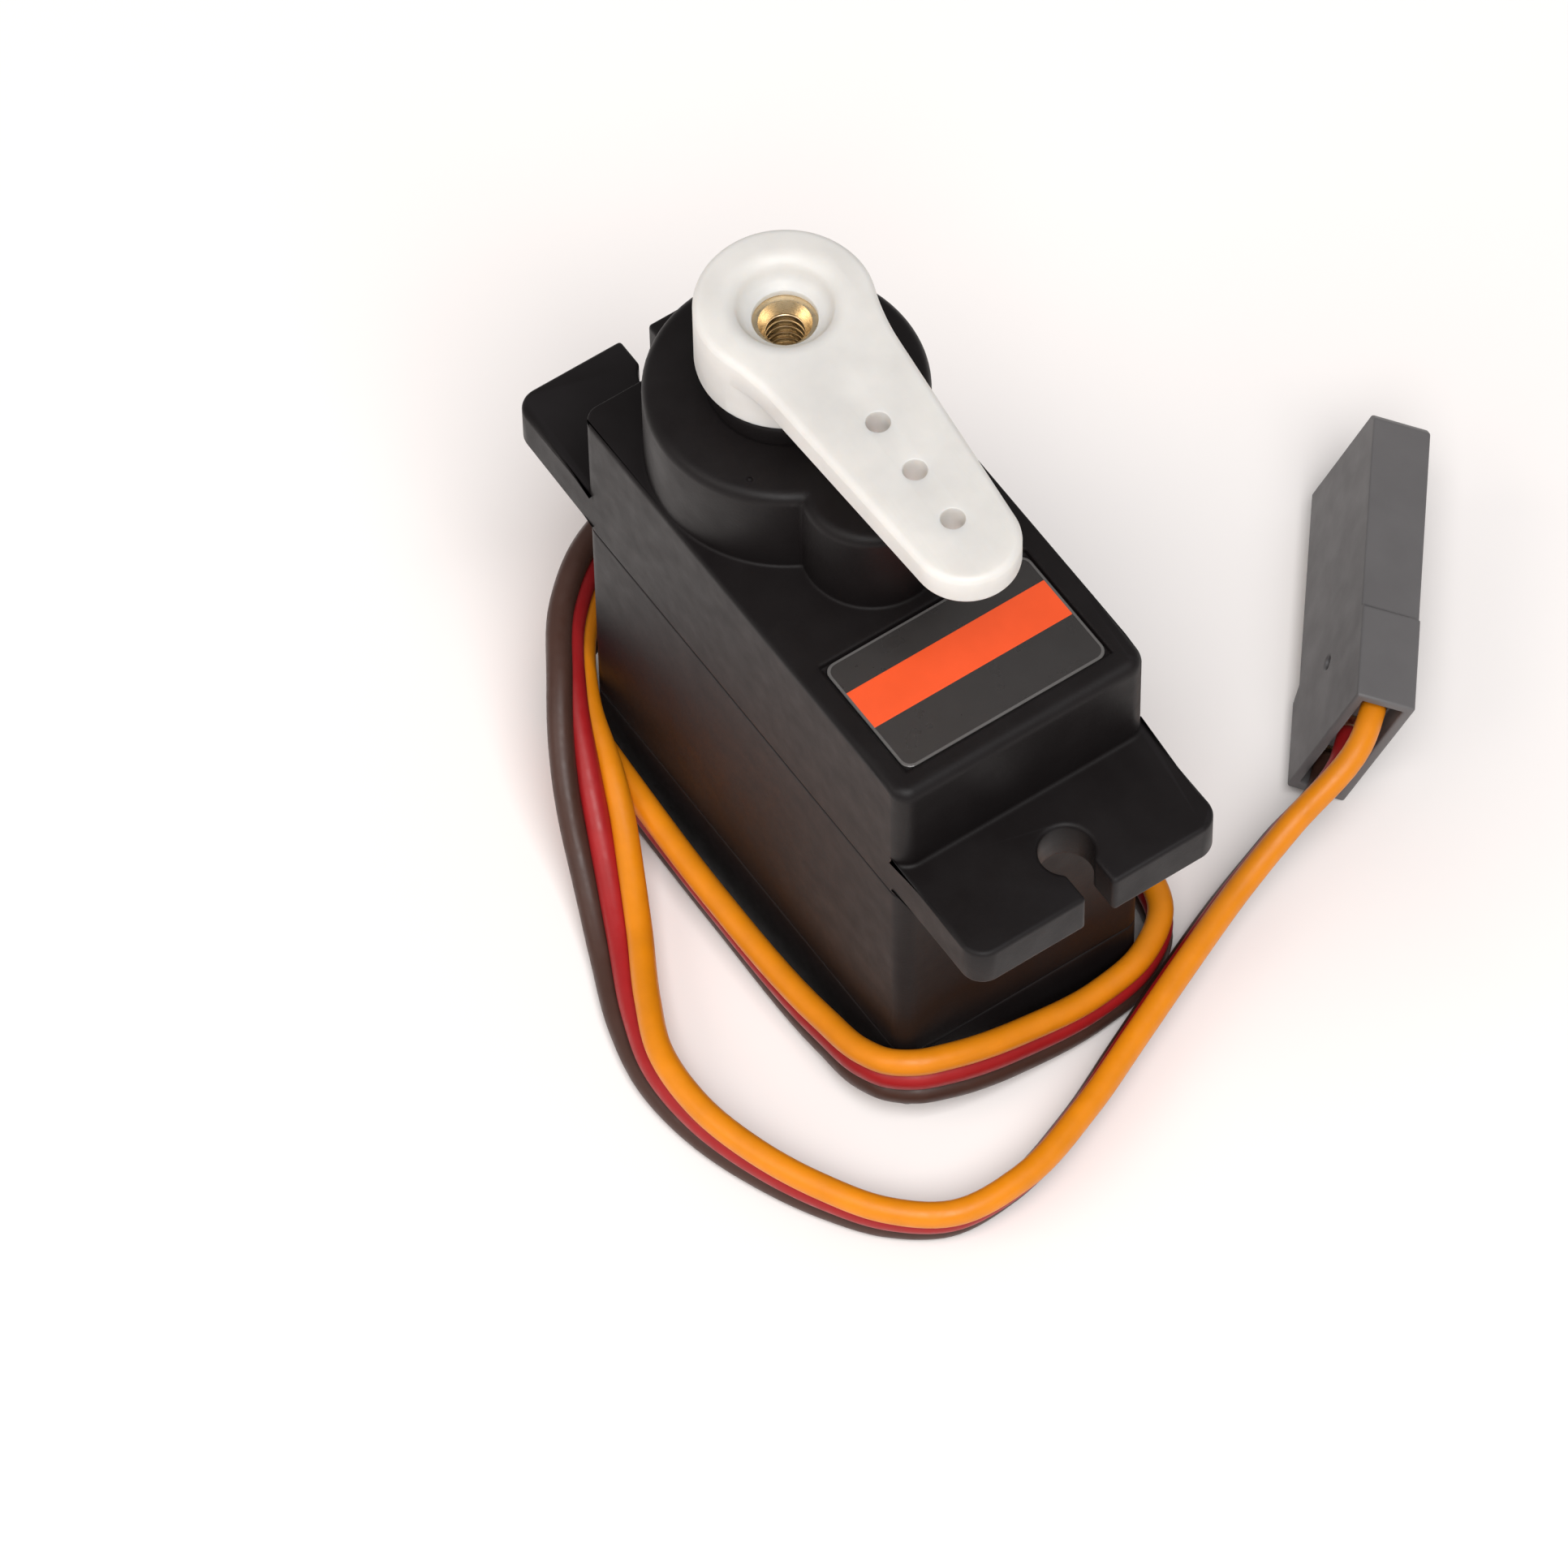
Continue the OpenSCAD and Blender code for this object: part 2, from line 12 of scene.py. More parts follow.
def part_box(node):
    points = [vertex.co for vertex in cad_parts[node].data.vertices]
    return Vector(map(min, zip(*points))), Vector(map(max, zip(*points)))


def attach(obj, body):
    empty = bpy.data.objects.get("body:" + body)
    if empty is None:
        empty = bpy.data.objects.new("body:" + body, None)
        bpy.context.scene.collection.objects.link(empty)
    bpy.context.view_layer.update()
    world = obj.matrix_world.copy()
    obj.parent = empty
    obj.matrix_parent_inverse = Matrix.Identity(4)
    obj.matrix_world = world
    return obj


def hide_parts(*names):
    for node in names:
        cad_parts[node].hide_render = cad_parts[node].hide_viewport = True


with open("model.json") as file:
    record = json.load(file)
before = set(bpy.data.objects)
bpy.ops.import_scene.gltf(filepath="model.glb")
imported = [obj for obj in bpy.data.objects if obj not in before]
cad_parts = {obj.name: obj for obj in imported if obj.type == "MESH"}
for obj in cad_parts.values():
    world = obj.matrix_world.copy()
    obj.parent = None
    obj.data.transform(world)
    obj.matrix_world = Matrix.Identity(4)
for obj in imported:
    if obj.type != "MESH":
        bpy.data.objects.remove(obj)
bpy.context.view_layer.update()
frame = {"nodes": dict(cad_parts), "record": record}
MM = 0.001
nodes = frame["nodes"]
body_of = {n: b for b, names in frame["record"]["behaviour"]["bodies"].items() for n in names}
slot_of = {row["node"]: row["material_slot"] for row in frame["record"]["subparts"]}


# ---- camera ---------------------------------------------------------------------------------

AZIMUTH = math.radians(56.73)
ELEVATION = math.radians(56.65)
ROLL = math.radians(-1.25)
DISTANCE = 446 * MM
AIM = Vector((0.1 * MM, 0, 14 * MM))
AIM_RIGHT = 3.30 * MM
AIM_UP = 4.84 * MM
LENS_MM = 251.7
SENSOR_MM = 36


def make_camera():
    """A long lens at the reference picture's viewing angle."""
    back = Vector((
        math.sin(AZIMUTH) * math.cos(ELEVATION),
        -math.cos(AZIMUTH) * math.cos(ELEVATION),
        math.sin(ELEVATION),
    ))
    level = Vector((math.cos(AZIMUTH), math.sin(AZIMUTH), 0))
    upright = back.cross(level)
    right = level * math.cos(ROLL) + upright * math.sin(ROLL)
    up = upright * math.cos(ROLL) - level * math.sin(ROLL)
    camera = bpy.data.objects.new("camera", bpy.data.cameras.new("camera"))
    bpy.context.scene.collection.objects.link(camera)
    camera.data.lens = LENS_MM
    camera.data.sensor_width = SENSOR_MM
    camera.data.clip_start = 0.01
    camera.data.clip_end = 10
    place = AIM - right * AIM_RIGHT - up * AIM_UP + back * DISTANCE
    turn = Matrix((right, up, back)).transposed().to_4x4()
    turn.translation = place
    camera.matrix_world = turn
    bpy.context.scene.camera = camera


make_camera()


# ---- lead -----------------------------------------------------------------------------------

WIRE_R = 0.55 * MM
WIRE_PITCH = 1.05 * MM
CONTACT_PITCH = 2.54 * MM
FAN_LENGTH = 7 * MM
# Each wire's place in the ribbon, counted in pitches from the red one.
WIRE_PLACES = {"brown": -1, "red": 0, "orange": 1}
STEPS = 8
SIDES = 20
# The red wire's route, the same points as in the CAD: x, y, z and the ribbon's tilt in degrees.
ROUTE = [
    (-0.0104, 0, 0.0034, 90), (-0.0119, 0, 0.0034, 90), (-0.01325, -0.00036, 0.0033, 90),
    (-0.01424, -0.00135, 0.00315, 90), (-0.0146, -0.0027, 0.00295, 90), (-0.01438, -0.0042, 0.0027, 90),
    (-0.01376, -0.00553, 0.00245, 90), (-0.0128, -0.00651, 0.00225, 90),
    (-0.0116, -0.00698, 0.00205, 91), (-0.0094, -0.00705, 0.0019, 94), (-0.0064, -0.00708, 0.00175, 98),
    (-0.0004, -0.00718, 0.00166, 101), (0.0074, -0.00711, 0.00205, 95),
    (0.01005, -0.00697, 0.00275, 92), (0.01122, -0.00656, 0.00315, 91), (0.01205, -0.00567, 0.0033, 89),
    (0.01245, -0.00445, 0.00315, 88), (0.0127, -0.0006, 0.0022, 90), (0.01257, 0.003, 0.00166, 93),
    (0.01208, 0.0055, 0.00163, 92), (0.01075, 0.0074, 0.00164, 90), (0.0084, 0.0081, 0.00166, 90),
    (-0.0014, 0.0081, 0.00168, 60), (-0.0088, 0.0082, 0.0019, 5), (-0.0124, 0.0073, 0.0033, -38),
    (-0.0146, 0.0047, 0.0049, -58), (-0.01555, 0.0016, 0.006, -68), (-0.01575, -0.001, 0.00635, -72),
    (-0.015, -0.00345, 0.00625, -71), (-0.01335, -0.00557, 0.00585, -65),
    (-0.0104, -0.00752, 0.0053, -56), (-0.0075, -0.00881, 0.00415, -18), (-0.0045, -0.01, 0.0024, 22),
    (-0.00135, -0.01138, 0.0014, 40), (0.00195, -0.0129, 0.00146, 57), (0.00455, -0.0137, 0.0016, 74),
    (0.0077, -0.01368, 0.00163, 87), (0.0109, -0.01283, 0.00163, 95), (0.0138, -0.01147, 0.00161, 100),
    (0.01595, -0.00998, 0.00159, 105), (0.0175, -0.00784, 0.00156, 110),
    (0.01765, -0.0047, 0.00156, 112), (0.01645, -0.00075, 0.00157, 111),
    (0.01478, 0.00297, 0.00165, 112), (0.01317, 0.0067, 0.002, 113), (0.0118, 0.01007, 0.0023, 113),
    (0.01085, 0.01352, 0.0032, 112), (0.00993, 0.0171, 0.004, 111), (0.00884, 0.01842, 0.004, 111),
]


def smooth_route(route, steps):
    """A smooth curve through the route points, as (x, y, z, tilt), with that many steps a span."""
    points = [Vector(p) for p in route]
    spans = [(b - a).xyz.length for a, b in zip(points, points[1:])]
    slopes = [(points[1] - points[0]) / spans[0]]
    for i in range(1, len(points) - 1):
        before = (points[i] - points[i - 1]) / spans[i - 1]
        after = (points[i + 1] - points[i]) / spans[i]
        slopes.append((before * spans[i] + after * spans[i - 1]) / (spans[i] + spans[i - 1]))
    slopes.append((points[-1] - points[-2]) / spans[-1])
    found = []
    for i, span in enumerate(spans):
        for k in range(steps):
            t = k / steps
            found.append(
                (2 * t**3 - 3 * t**2 + 1) * points[i]
                + (t**3 - 2 * t**2 + t) * span * slopes[i]
                + (3 * t**2 - 2 * t**3) * points[i + 1]
                + (t**3 - t**2) * span * slopes[i + 1]
            )
    return found + [points[-1]]


def wire_line(side):
    """The centreline of one wire of the ribbon: side is -1 for brown, 0 for red and 1 for orange."""
    stations = smooth_route(ROUTE, STEPS)
    places = [s.xyz for s in stations]
    left_over = [0.0]
    for a, b in zip(places[::-1], places[-2::-1]):
        left_over.append(left_over[-1] + (a - b).length)
    left_over.reverse()
    line = []
    last = len(places) - 1
    for i, station in enumerate(stations):
        ahead = places[min(i + 1, last)] - places[max(i - 1, 0)]
        flat = Vector((-ahead.y, ahead.x, 0)).normalized()
        tilt = math.radians(station[3])
        across = flat * math.cos(tilt) + Vector((0, 0, math.sin(tilt)))
        spread = max(0.0, 1 - left_over[i] / FAN_LENGTH)
        ease = spread * spread * (3 - 2 * spread)
        pitch = WIRE_PITCH + (CONTACT_PITCH - WIRE_PITCH) * ease
        line.append(places[i] + across * pitch * side)
    return line


def make_wire(colour, side):
    """One insulated wire as a round tube, from inside the case to its contact in the plug."""
    line = wire_line(side)
    bm = bmesh.new()
    rings = []
    for i, place in enumerate(line):
        ahead = (line[min(i + 1, len(line) - 1)] - line[max(i - 1, 0)]).normalized()
        level = Vector((-ahead.y, ahead.x, 0)).normalized()
        upright = ahead.cross(level)
        turns = [2 * math.pi * k / SIDES for k in range(SIDES)]
        rings.append([
            bm.verts.new(place + (level * math.cos(a) + upright * math.sin(a)) * WIRE_R) for a in turns
        ])
    for near, far in zip(rings, rings[1:]):
        for k in range(SIDES):
            bm.faces.new((near[k], near[(k + 1) % SIDES], far[(k + 1) % SIDES], far[k])).smooth = True
    bm.faces.new(rings[0][::-1])
    bm.faces.new(rings[-1])
    bm.normal_update()
    mesh = bpy.data.meshes.new(f"lead_{colour}")
    bm.to_mesh(mesh)
    bm.free()
    wire = bpy.data.objects.new(f"lead_{colour}", mesh)
    bpy.context.scene.collection.objects.link(wire)
    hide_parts(f"wire_{colour}")
    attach(wire, "case")
    return wire


wires = {name: make_wire(name, place) for name, place in WIRE_PLACES.items()}


# ---- materials ------------------------------------------------------------------------------

# Sockets of the Mix node in its colour mode, which share their names with its other modes.
MIX_FACTOR, MIX_FROM, MIX_TO = 0, 6, 7
MIX_RESULT = 2
BRASS = (0.86, 0.69, 0.45)
THREAD_PITCH = 0.4 * MM
THREAD_DEPTH = 0.1 * MM
TAP_CONE = 0.5 * MM


class Finish:
    """A node material: a shader with its own constants, and helpers that vary what feeds it."""

    def __init__(self, name, colour, rough, metal=0.0, **sockets):
        self.material = bpy.data.materials.new(name)
        self.material.use_nodes = True
        self.tree = self.material.node_tree
        self.shader = self.tree.nodes["Principled BSDF"]
        self.shader.inputs["Base Color"].default_value = (*colour, 1)
        self.shader.inputs["Roughness"].default_value = rough
        self.shader.inputs["Metallic"].default_value = metal
        for socket, value in sockets.items():
            self.shader.inputs[socket.replace("_", " ")].default_value = value
        self.colour = colour
        self.rough = rough
        self.place = self.node("ShaderNodeTexCoord").outputs["Object"]

    def node(self, kind):
        return self.tree.nodes.new(kind)

    def link(self, a, b):
        self.tree.links.new(a, b)

    def noise(self, cell, detail=3.0, stretch=None):
        """Noise with cells of about that size in metres, drawn out along an axis by stretch."""
        texture = self.node("ShaderNodeTexNoise")
        texture.inputs["Scale"].default_value = 1 / cell
        texture.inputs["Detail"].default_value = detail
        source = self.place
        if stretch:
            mapping = self.node("ShaderNodeMapping")
            mapping.inputs["Scale"].default_value = stretch
            self.link(source, mapping.inputs["Vector"])
            source = mapping.outputs["Vector"]
        self.link(source, texture.inputs["Vector"])
        return texture.outputs["Fac"]

    def ranged(self, value, low, high, start=0.3, end=0.7):
        """That value, from start to end, mapped to the range from low to high."""
        node = self.node("ShaderNodeMapRange")
        node.inputs["From Min"].default_value = start
        node.inputs["From Max"].default_value = end
        node.inputs["To Min"].default_value = low
        node.inputs["To Max"].default_value = high
        self.link(value, node.inputs["Value"])
        return node.outputs["Result"]

    def mix_towards(self, other, factor):
        """Mixes the colour so far towards another one by that factor."""
        shader_in = self.shader.inputs["Base Color"]
        mix = self.node("ShaderNodeMix")
        mix.data_type = "RGBA"
        if shader_in.is_linked:
            self.link(shader_in.links[0].from_socket, mix.inputs[MIX_FROM])
        else:
            mix.inputs[MIX_FROM].default_value = (*self.colour, 1)
        mix.inputs[MIX_TO].default_value = (*other, 1)
        self.link(factor, mix.inputs[MIX_FACTOR])
        self.link(mix.outputs[MIX_RESULT], shader_in)
        return self

    def tint(self, value, other, amount):
        """Mixes the colour towards another one by that value times amount."""
        return self.mix_towards(other, self.ranged(value, 0, amount))

    def vary_rough(self, value, spread):
        self.link(
            self.ranged(value, self.rough - spread, self.rough + spread),
            self.shader.inputs["Roughness"],
        )
        return self

    def bump(self, value, depth, strength=1.0):
        """Raises the surface by that value, to about that depth in metres."""
        node = self.node("ShaderNodeBump")
        node.inputs["Strength"].default_value = strength
        node.inputs["Distance"].default_value = depth
        self.link(value, node.inputs["Height"])
        normal_in = self.shader.inputs["Normal"]
        if normal_in.is_linked:
            self.link(normal_in.links[0].from_socket, node.inputs["Normal"])
        self.link(node.outputs["Normal"], normal_in)
        return self

    def rings(self, pitch, top):
        """Rings around the Z axis, that far apart and below that height, as a tapped thread has."""
        wave = self.node("ShaderNodeTexWave")
        wave.bands_direction = "Z"
        # the node's bands repeat every pi / 10 at a scale of 1
        wave.inputs["Scale"].default_value = math.pi / (10 * pitch)
        self.link(self.place, wave.inputs["Vector"])
        split = self.node("ShaderNodeSeparateXYZ")
        self.link(self.place, split.inputs["Vector"])
        product = self.node("ShaderNodeMath")
        product.operation = "MULTIPLY"
        self.link(wave.outputs["Fac"], product.inputs[0])
        self.link(self.ranged(split.outputs["Z"], 1, 0, top - 0.1 * MM, top), product.inputs[1])
        return product.outputs["Value"]

    def soften(self, radius):
        """Rounds how the surface is shaded at its edges, to about that radius in metres."""
        node = self.node("ShaderNodeBevel")
        node.samples = 6
        node.inputs["Radius"].default_value = radius
        self.link(node.outputs["Normal"], self.shader.inputs["Normal"])
        return self

    def edges(self, other, amount, start=0.52, end=0.62):
        """Lightens the most convex edges, as a painted highlight along them."""
        pointy = self.node("ShaderNodeNewGeometry").outputs["Pointiness"]
        return self.mix_towards(other, self.ranged(pointy, 0, amount, start, end))


def moulded(name, colour, rough, grain=0.12 * MM, depth=0.004 * MM, soft=0.0, **sockets):
    """Injection-moulded plastic: a fine spark-eroded grain, and slow drifts in gloss and tone."""
    finish = Finish(name, colour, rough, **sockets)
    if soft:
        finish.soften(soft)
    lighter = tuple(min(1, c * 1.25 + 0.004) for c in colour)
    finish.tint(finish.noise(2.5 * MM, 4), lighter, 0.5)
    finish.vary_rough(finish.noise(1.2 * MM, 5), 0.05)
    finish.bump(finish.noise(grain, 2), depth)
    return finish


def turned(name, colour, rough, stretch=(1, 1, 14)):
    """Turned or drawn metal: fine rings around the Z axis."""
    finish = Finish(name, colour, rough, metal=1.0)
    finish.vary_rough(finish.noise(0.25 * MM, 4, stretch), 0.08)
    finish.tint(finish.noise(0.8 * MM, 3), tuple(c * 0.7 for c in colour), 0.35)
    finish.bump(finish.noise(0.15 * MM, 2, stretch), 0.002 * MM)
    return finish


def vinyl(name, colour):
    """Soft wire insulation: satin, a little uneven, with faint scuffs along it."""
    finish = Finish(name, colour, 0.45, Specular_IOR_Level=0.35, Subsurface_Weight=0.08,
                    Subsurface_Scale=1.0, Subsurface_Radius=(0.2 * MM,) * 3)
    darker = tuple(c * 0.72 for c in colour)
    finish.tint(finish.noise(1.6 * MM, 4), darker, 0.45)
    finish.vary_rough(finish.noise(0.5 * MM, 4), 0.09)
    finish.bump(finish.noise(0.3 * MM, 3), 0.006 * MM)
    return finish


def make_materials():
    case = moulded("case_plastic", (0.0068, 0.0052, 0.0053), 0.46, soft=0.22 * MM,
                   Specular_IOR_Level=0.19)
    # painted highlight: the case is lightened along its most convex edges
    case.edges((0.016, 0.014, 0.015), 0.4)
    horn = moulded("horn_plastic", (0.645, 0.627, 0.60), 0.42, 0.2 * MM, 0.002 * MM,
                   Subsurface_Weight=0.6, Subsurface_Scale=1.0,
                   Subsurface_Radius=(1.3 * MM, 1.1 * MM, 0.9 * MM))
    gears = moulded("gear_plastic", (0.82, 0.79, 0.72), 0.42, 0.2 * MM, 0.003 * MM,
                    Subsurface_Weight=0.25, Subsurface_Scale=1.0,
                    Subsurface_Radius=(0.6 * MM, 0.5 * MM, 0.4 * MM))
    label = moulded("label", (0.030, 0.027, 0.026), 0.3, 0.4 * MM, 0.0006 * MM)
    board = moulded("board_green", (0.018, 0.13, 0.05), 0.35, 0.3 * MM, 0.006 * MM)
    board.tint(board.noise(0.9 * MM, 0), (0.03, 0.2, 0.08), 0.8)
    tapped = turned("tapped_brass", BRASS, 0.3)
    thread = tapped.rings(THREAD_PITCH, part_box("output_shaft")[1].z - TAP_CONE)
    # painted shade: below the hole's mouth the thread's rings are coloured darker, besides their bump
    tapped.tint(thread, tuple(c * 0.35 for c in BRASS), 0.6).bump(thread, THREAD_DEPTH)
    rubber = moulded("grommet_rubber", (0.014, 0.014, 0.014), 0.62, 0.1 * MM, 0.008 * MM)
    plug = moulded("plug_plastic", (0.112, 0.106, 0.107), 0.5, 0.12 * MM, 0.004 * MM, soft=0.12 * MM)
    return {
        "case_plastic": case,
        "horn_plastic": horn,
        "gear_plastic": gears,
        "label": label,
        "label_orange": moulded("label_orange", (0.80, 0.085, 0.018), 0.34, 0.4 * MM, 0.0006 * MM),
        "label_grey": moulded("label_grey", (0.10, 0.095, 0.092), 0.3, 0.4 * MM, 0.0006 * MM),
        "brass": turned("brass", BRASS, 0.3),
        "tapped_brass": tapped,
        "steel": turned("steel", (0.62, 0.63, 0.65), 0.28),
        "can_steel": turned("can_steel", (0.60, 0.61, 0.63), 0.34, (1, 1, 0.08)),
        "cream_plastic": moulded("cream_plastic", (0.78, 0.74, 0.64), 0.5),
        "blue_plastic": moulded("blue_plastic", (0.05, 0.17, 0.42), 0.4),
        "board_green": board,
        "chip_black": moulded("chip_black", (0.02, 0.02, 0.022), 0.6, 0.08 * MM, 0.006 * MM),
        "grommet_rubber": rubber,
        "wire_brown": vinyl("wire_brown", (0.062, 0.027, 0.019)),
        "wire_red": vinyl("wire_red", (0.37, 0.012, 0.014)),
        "wire_orange": vinyl("wire_orange", (0.78, 0.245, 0.004)),
        "plug_plastic": plug,
    }


materials = {name: finish.material for name, finish in make_materials().items()}


def paint(piece, name):
    piece.data.materials.clear()
    piece.data.materials.append(materials[name])


for node_name, node_object in nodes.items():
    paint(node_object, slot_of[node_name])
paint(nodes["output_shaft"], "tapped_brass")
for wire_colour, wire_piece in wires.items():
    paint(wire_piece, f"wire_{wire_colour}")


# ---- moulded shells with soft edges ---------------------------------------------------------

WIDEST = 1.0 * MM
SHARP = math.radians(28)
# Where an edge of the top case counts as lying on a face, near a corner or around the label.
LEVEL = 0.01 * MM
NEAR = 0.02 * MM
EAR_FOOT = 0.05 * MM
CORNER = 0.9 * MM
RECESS_MARGIN = 0.5 * MM
LABEL_DEPTH = 0.1 * MM
EAR_TOP = 18.1 * MM
# Radii of its edges.
END_ROUND = 0.55 * MM
SIDE_ROUND = 0.11 * MM
ROOF_FILLET = 0.06 * MM
FOOT_FILLET = 0.15 * MM
EAR_ROUND = 0.16 * MM
BOSS_ROUND = 0.07 * MM


def add_piece(name, mesh, slot, body):
    piece = bpy.data.objects.new(name, mesh)
    bpy.context.scene.collection.objects.link(piece)
    paint(piece, slot)
    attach(piece, body)
    return piece


def soften(node_name, piece_name, rule, segments=3):
    """Builds a piece from a node's surface, with each sharp edge rounded as rule says.

    Rule gives the radius of an edge from its middle point.
    """
    mesh = nodes[node_name].data.copy()
    bm = bmesh.new()
    bm.from_mesh(mesh)
    bmesh.ops.remove_doubles(bm, verts=bm.verts, dist=0.002 * MM)
    bmesh.ops.dissolve_limit(bm, angle_limit=math.radians(0.6), verts=bm.verts, edges=bm.edges)
    weight = bm.edges.layers.float.new("bevel_weight_edge")
    for edge in bm.edges:
        if len(edge.link_faces) == 2 and edge.calc_face_angle(0) > SHARP:
            radius = rule((edge.verts[0].co + edge.verts[1].co) / 2)
            edge[weight] = radius / WIDEST
            edge.smooth = radius > 0
    for face in bm.faces:
        face.smooth = True
    bm.to_mesh(mesh)
    bm.free()
    piece = add_piece(piece_name, mesh, slot_of[node_name], body_of[node_name])
    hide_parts(node_name)
    bevel = piece.modifiers.new("soft_edges", "BEVEL")
    bevel.width = WIDEST
    bevel.limit_method = "WEIGHT"
    bevel.segments = segments
    bevel.use_clamp_overlap = False
    bevel.harden_normals = False
    weighted = piece.modifiers.new("flat_faces", "WEIGHTED_NORMAL")
    weighted.keep_sharp = True
    return piece


def plain_rule(radius):
    return lambda middle: radius


def top_case_rule():
    """Radii on the top case: soft end edge, crisp roof edges, and small fillets at every foot."""
    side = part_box("top_case")[1].y
    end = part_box("middle_case")[1].x
    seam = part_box("middle_case")[1].z
    label_low, label_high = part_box("label_plate")
    roof = label_high.z + LABEL_DEPTH

    def rule(middle):
        on_roof = abs(middle.z - roof) < LEVEL
        on_side = abs(abs(middle.y) - side) < NEAR
        on_end = abs(abs(middle.x) - end) < CORNER or abs(middle.x) > end
        beside_label = (
            abs(middle.y) < side - RECESS_MARGIN
            and label_low.x - RECESS_MARGIN < middle.x < end - RECESS_MARGIN
        )
        if middle.z < seam or beside_label and middle.z < roof + NEAR:
            return 0
        if not (on_side or on_end or middle.z > roof - NEAR):
            return 0
        if on_roof and middle.x > end - CORNER:
            return END_ROUND
        if on_roof:
            return SIDE_ROUND if abs(middle.y) > side - NEAR else ROOF_FILLET
        if abs(middle.z - EAR_TOP) < LEVEL and abs(middle.x) < end + EAR_FOOT:
            return FOOT_FILLET
        return EAR_ROUND if abs(middle.x) > end else BOSS_ROUND

    return rule


soften("top_case", "top_case_shell", top_case_rule())
soften("middle_case", "middle_case_shell", plain_rule(0.06 * MM), 2)
soften("bottom_cover", "bottom_cover_shell", plain_rule(0.1 * MM), 2)
soften("shaft_collar", "collar_ring", plain_rule(0.15 * MM), 3)
soften("plug_housing", "plug_shell", plain_rule(0.1 * MM), 2)
soften("cable_grommet", "grommet_sleeve", plain_rule(0.06 * MM), 2)


# ---- horn -----------------------------------------------------------------------------------

HORN_TURN = math.radians(-2.3)
HUB_R = 3.66 * MM
HORN_TOP = 33.1 * MM
ARM_UNDERSIDE = 31.6 * MM
HUB_BOTTOM = 29.4 * MM
ARM_ROOT = Vector((0.505 * MM, 3.15 * MM))
ARM_TIP = Vector((13.3 * MM, 0))
ARM_TIP_R = 2.2 * MM
ARM_HOLES = (6.9 * MM, 9.6 * MM, 12.35 * MM)
ARM_HOLE_R = 0.5 * MM
SOCKET_R = 2.4 * MM
RECESS_R = 2.25 * MM
WEB_R = 1.33 * MM
WEB_LOW = 31.7 * MM
WEB_HIGH = 32.0 * MM
BLEND_TURN = 0.26
ROUND_STEPS = 5
HUB_STEPS = 48
UNDER_STEPS = 12
FILLET_STEPS = 10
ARM_STEPS = 12
TIP_STEPS = 24
CONE_STEPS = 6
BRIM_STEPS = 8
HOLE_SIDES = 32
TOP_ROUND = 0.32 * MM
UNDER_ROUND = 0.22 * MM
FOOT_ROUND = 0.25 * MM
MOUTH_ROUND = 0.1 * MM
WEB_ROUND = 0.06 * MM
HOLE_ROUND = 0.04 * MM
BRIM_START = 0.72
BRIM_WIDTH = 0.42 * MM
CONE_BULGE = 0.08 * MM
HORN_SHARP = math.radians(40)
FLAT_DOWN = -0.999
WELD = 0.0005 * MM


def circle(cx, cy, radius, count):
    angles = [2 * math.pi * k / count for k in range(count)]
    return [(cx + radius * math.cos(a), cy + radius * math.sin(a)) for a in angles]


def curve(start, corner, end, steps):
    """Points of the curve that rounds the corner from start to end, without start itself."""
    shares = [k / steps for k in range(1, steps + 1)]
    return [start.lerp(corner, t).lerp(corner.lerp(end, t), t) for t in shares]


def arm_outline():
    """The hub and the arm as one anticlockwise outline.

    Gives its points, which of them lie on the hub, and the angle at which it leaves the hub.
    """
    reach = ARM_TIP - ARM_ROOT
    slant = math.atan2(reach.y, reach.x) + math.asin(ARM_TIP_R / reach.length)
    along = Vector((math.cos(slant), math.sin(slant)))
    normal = Vector((-along.y, along.x))
    # where the straight edge leaves the hub
    b = ARM_ROOT.dot(along)
    step = -b + math.sqrt(b * b - ARM_ROOT.length_squared + HUB_R * HUB_R)
    leave = ARM_ROOT + along * step
    touch = math.atan2(normal.y, normal.x)
    start = math.atan2(leave.y, leave.x)
    upper = []
    turn = start + BLEND_TURN
    for k in range(HUB_STEPS + 1):
        angle = math.pi - (math.pi - turn) * k / HUB_STEPS
        upper.append((HUB_R * math.cos(angle), HUB_R * math.sin(angle), True))
    end = ARM_TIP + normal * ARM_TIP_R
    # the fillet, whose corner is where the hub's tangent meets the straight edge
    from_hub = Vector((math.cos(turn), math.sin(turn))) * HUB_R
    tangent = Vector((math.sin(turn), -math.cos(turn)))
    side = (leave - from_hub).cross(along) / tangent.cross(along)
    corner = from_hub + tangent * side
    to_arm = corner + along * side
    for spot in curve(from_hub, corner, to_arm, FILLET_STEPS):
        upper.append((spot.x, spot.y, False))
    for k in range(1, ARM_STEPS):
        spot = to_arm.lerp(end, k / ARM_STEPS)
        upper.append((spot.x, spot.y, False))
    for k in range(TIP_STEPS + 1):
        angle = touch * (1 - k / TIP_STEPS)
        spot = ARM_TIP + Vector((math.cos(angle), math.sin(angle))) * ARM_TIP_R
        upper.append((spot.x, spot.y, False))
    lower = [(x, -y, on_hub) for x, y, on_hub in reversed(upper[1:-1])]
    points = (upper + lower)[::-1]
    return [p[:2] for p in points], [p[2] for p in points], turn


def inset(outline, amounts):
    """The outline with each point moved inwards by its amount, measured square to the edges."""
    moved = []
    count = len(outline)
    for i, (x, y) in enumerate(outline):
        before = Vector((x - outline[i - 1][0], y - outline[i - 1][1])).normalized()
        after_x, after_y = outline[(i + 1) % count]
        after = Vector((after_x - x, after_y - y)).normalized()
        inward = Vector((-before.y - after.y, before.x + after.x))
        inward *= amounts[i] / (1 + before.dot(after))
        moved.append((x + inward.x, y + inward.y))
    return moved


def add_ring(bm, points, heights):
    return [bm.verts.new((x, y, z)) for (x, y), z in zip(points, heights)]


